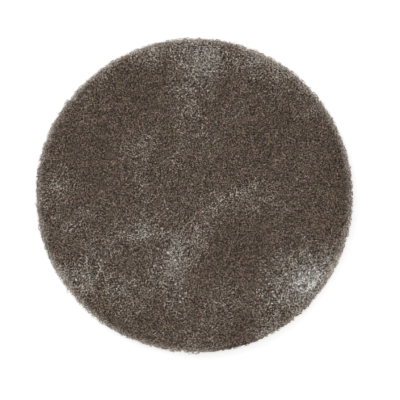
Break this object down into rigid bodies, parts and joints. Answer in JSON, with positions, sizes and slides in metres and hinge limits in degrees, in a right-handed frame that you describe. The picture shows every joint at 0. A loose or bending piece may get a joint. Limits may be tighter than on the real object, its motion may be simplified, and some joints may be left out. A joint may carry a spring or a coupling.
{
  "type": "non-woven abrasive disc",
  "caption": "Round flat disc of brown non-woven abrasive web, for scuffing and finishing surfaces, with thin spots that let light through.",
  "frame": {"origin": "centre of the disc's outline box, on its flat back", "axes": "+Z out of the face, away from the flat back; +X and +Y are the right and the top of the face in the picture"},
  "size_m": [0.1506, 0.1496, 0.006],
  "materials": {
    "abrasive_web": "matt brown grit-loaded resin over crimped nylon fibres, paler at the cut edge"
  },
  "bodies": {
    "root": {"web_disc": "abrasive_web"}
  },
  "joints": []
}
